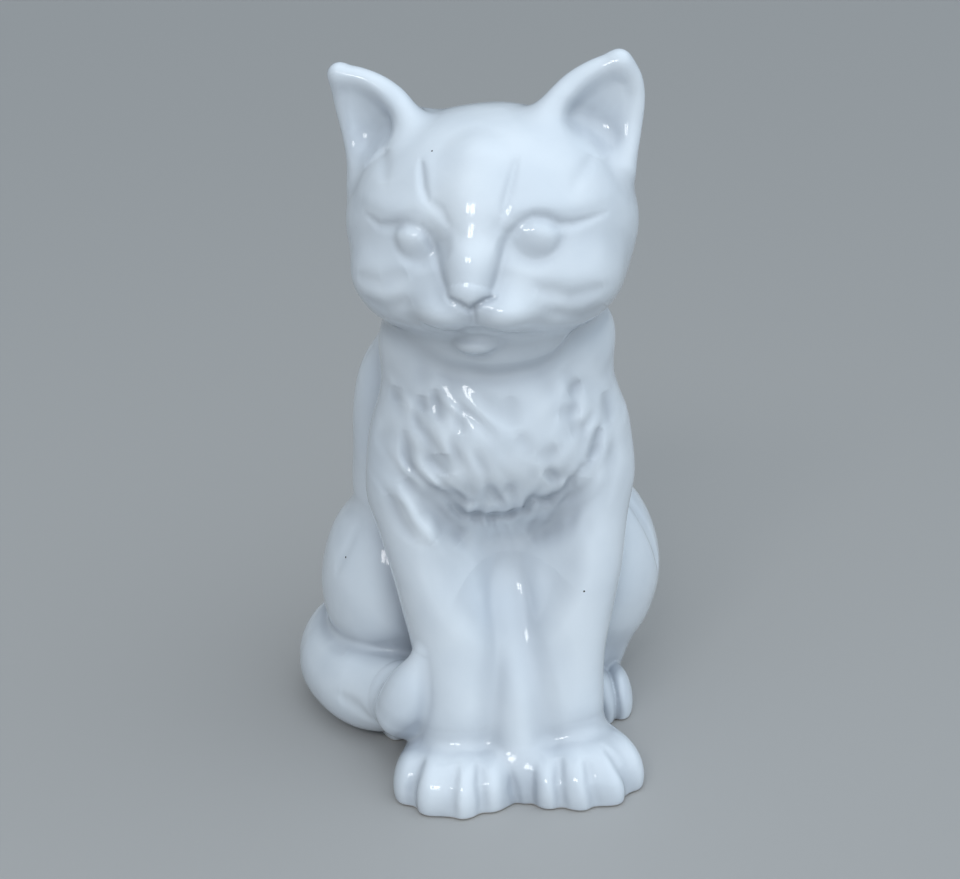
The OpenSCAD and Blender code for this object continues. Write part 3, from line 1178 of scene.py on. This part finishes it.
def window_pane(name, at):
    """A soft rectangular light that faces the figure."""
    data = bpy.data.lights.new(name, "AREA")
    data.shape = "RECTANGLE"
    data.size, data.size_y = PANE_SIZE
    data.energy = PANE_WATTS
    lamp = linked(name, data)
    lamp.location = at
    lamp.rotation_euler = Vector((WINDOW_AIM - at).tolist()).to_track_quat("-Z", "Y").to_euler()


def floor():
    """A plain pale floor."""
    mesh = bpy.data.meshes.new("floor")
    far = FLOOR_HALF
    mesh.from_pydata([(-far, -far, 0), (far, -far, 0), (far, far, 0), (-far, far, 0)],
                     [], [(0, 1, 2, 3)])
    material, tree, shader = new_material("pale_floor")
    shader.inputs["Base Color"].default_value = (*FLOOR_COLOUR, 1)
    shader.inputs["Roughness"].default_value = FLOOR_ROUGHNESS
    mesh.materials.append(material)
    linked("floor", mesh)


def camera():
    """The photograph's viewpoint."""
    data = bpy.data.cameras.new("camera")
    data.lens = LENS
    data.sensor_width = SENSOR
    data.clip_start = 0.01
    piece = linked("camera", data)
    bpy.context.scene.camera = piece
    heading = math.radians(CAMERA_HEADING)
    down = math.radians(CAMERA_DOWN)
    tilt = math.radians(CAMERA_TILT)
    forward = np.array([math.sin(heading) * math.cos(down), math.cos(heading) * math.cos(down),
                        -math.sin(down)])
    right = np.array([math.cos(heading), -math.sin(heading), 0])
    up = np.cross(right, forward)
    level_right = right * math.cos(tilt) + up * math.sin(tilt)
    level_up = np.cross(level_right, forward)
    matrix = Matrix.Identity(4)
    for row in range(3):
        matrix[row][0] = level_right[row]
        matrix[row][1] = level_up[row]
        matrix[row][2] = -forward[row]
        matrix[row][3] = CAMERA_AT[row] * UNIT
    piece.matrix_world = matrix


def world():
    """A soft sky, brightest above and in front of the figure and dim at the horizon behind."""
    scene_world = bpy.data.worlds.new("studio")
    bpy.context.scene.world = scene_world
    scene_world.use_nodes = True
    tree = scene_world.node_tree
    background = tree.nodes["Background"]
    coords = tree.nodes.new("ShaderNodeTexCoord")
    toward = tree.nodes.new("ShaderNodeVectorMath")
    toward.operation = "DOT_PRODUCT"
    toward.inputs[1].default_value = SKY_TOWARD
    ramp = tree.nodes.new("ShaderNodeValToRGB")
    for position, level in SKY_LEVELS:
        stop = ramp.color_ramp.elements.new(position)
        stop.color = (*(level * share for share in SKY_TINT), 1)
    ramp.color_ramp.elements.remove(ramp.color_ramp.elements[0])
    ramp.color_ramp.elements.remove(ramp.color_ramp.elements[-1])
    tree.links.new(coords.outputs["Generated"], toward.inputs[0])
    tree.links.new(toward.outputs["Value"], ramp.inputs["Fac"])
    tree.links.new(ramp.outputs["Color"], background.inputs["Color"])
    background.inputs["Strength"].default_value = SKY_STRENGTH


# ------------------------------------------------------------------ the scene
bpy.context.scene.view_settings.view_transform = "Standard"
world()
camera()
floor()
for pane, offset in (("left", -PANE_OFFSET), ("right", PANE_OFFSET)):
    window_pane("window_" + pane, WINDOW_AT + (offset, -offset * 0.4, 0))

glaze = glaze_material()
for node, form in castings(build_surface()).items():
    piece = mesh_piece(node + "_glazed", form)
    piece.data.materials.append(glaze)
    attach(piece, "root")
    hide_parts(node)

slab = frame["nodes"]["base_slab"]
slab.data.materials.clear()
slab.data.materials.append(bisque_material())
